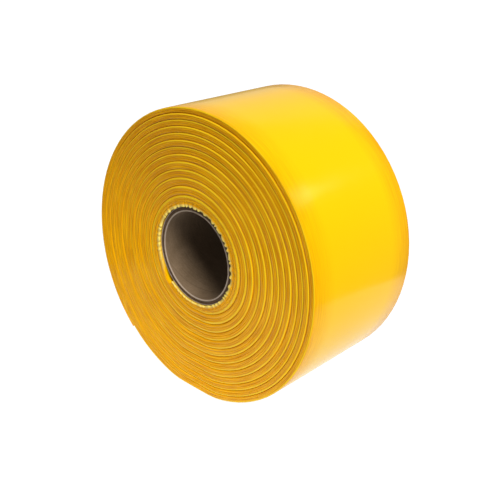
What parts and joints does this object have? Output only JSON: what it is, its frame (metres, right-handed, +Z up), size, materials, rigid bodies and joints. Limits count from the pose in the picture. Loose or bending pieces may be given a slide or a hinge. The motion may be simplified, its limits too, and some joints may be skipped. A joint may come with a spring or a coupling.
{
  "type": "rolled layflat hose",
  "caption": "Yellow layflat hose wound edge to edge on a cardboard core, with a taped tail that peels off the roll.",
  "frame": {"origin": "middle of the roll's footprint, on the surface that the roll stands on", "axes": "+Z up, +Y along the roll's axis with the front end facing -Y, +X across the roll"},
  "size_m": [0.254, 0.122, 0.2516],
  "materials": {
    "core_paper": "matt brown kraft paper",
    "core_board": "matt grey-brown board with a cut, fuzzy end",
    "starter_tape": "thin double-sided tape",
    "hose_cover": "smooth glossy yellow cover",
    "hose_jacket": "circular-woven polyester yarn",
    "hose_lining": "smooth satin yellow lining",
    "closing_tape": "clear packing tape"
  },
  "bodies": {
    "roll": {"core_inner_ply": "core_paper", "core_body": "core_board", "core_outer_ply": "core_paper", "starter_tape": "starter_tape", "wound_cover": "hose_cover", "wound_jacket": "hose_jacket", "wound_lining": "hose_lining"},
    "tail": {"tail_cover": "hose_cover", "tail_jacket": "hose_jacket", "tail_lining": "hose_lining"},
    "tape": {"closing_tape": "closing_tape"}
  },
  "joints": [
    {"name": "tail_peel", "type": "hinge", "parent": "roll", "child": "tail", "pos_m": [-0.12064, 0, 0.07841], "axis": [0, 1, 0], "range_deg": [0, 60]},
    {"name": "tape_peel", "type": "hinge", "parent": "tail", "child": "tape", "pos_m": [-0.10759, 0, 0.0505], "axis": [0, 1, 0], "range_deg": [0, 100]}
  ]
}
